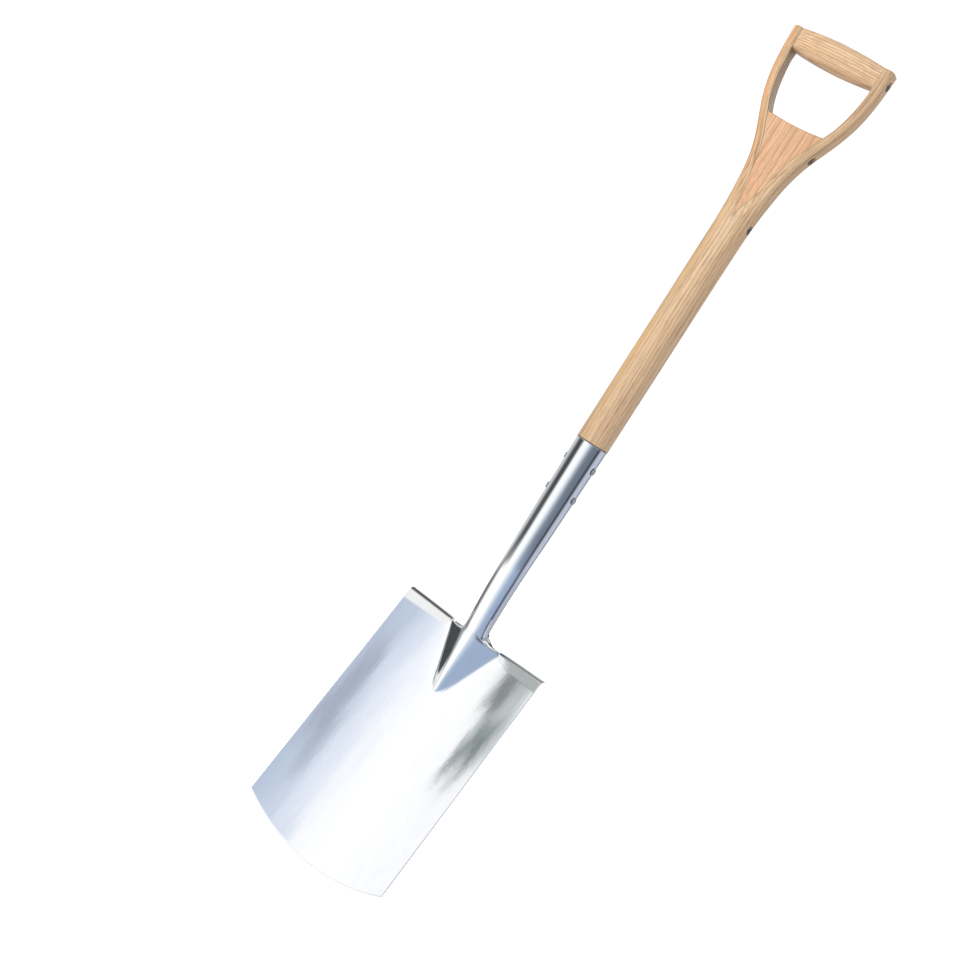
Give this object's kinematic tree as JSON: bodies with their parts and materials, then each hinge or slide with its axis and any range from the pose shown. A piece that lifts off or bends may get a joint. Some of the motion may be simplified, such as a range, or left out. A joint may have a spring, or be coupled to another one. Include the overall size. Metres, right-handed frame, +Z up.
{
  "type": "garden digging spade",
  "caption": "Digging spade with a dished pressed blade, folded foot rests and raised frog, a tapered tube socket, and a split ash shaft bent into a D handle with wedge and crossbar.",
  "frame": {"origin": "middle of the overall width and depth, at the height of the middle of the cutting edge, which is the lowest point", "axes": "+Z up along the shaft from the cutting edge to the crossbar, +X across the blade, the user's right as they face its hollow front, -Y out of the blade's hollow front face; x = 0 is the plane of symmetry"},
  "size_m": [0.1918, 0.0828, 1.0137],
  "materials": {
    "polished_steel": "stainless steel polished almost to a mirror, fine lengthwise brushing",
    "weld_steel": "ground and brushed stainless weld metal",
    "rivet_steel": "hammered bright steel",
    "ash": "straight-grained ash, sanded, clear satin lacquer",
    "wedge_ash": "pinker ash, sanded, clear satin lacquer"
  },
  "bodies": {
    "root": {"blade": "polished_steel", "back_plate": "polished_steel", "seam_weld_left": "weld_steel", "seam_weld_right": "weld_steel", "neck_weld": "weld_steel", "socket": "polished_steel", "socket_rivet_lower": "polished_steel", "socket_rivet_upper": "polished_steel", "shaft": "ash", "wedge": "wedge_ash", "crossbar": "ash", "split_rivet": "rivet_steel", "split_rivet_rove": "rivet_steel", "wedge_rivet": "rivet_steel", "wedge_rivet_rove": "rivet_steel", "crossbar_rod": "rivet_steel", "crossbar_rod_rove": "rivet_steel"}
  },
  "joints": []
}
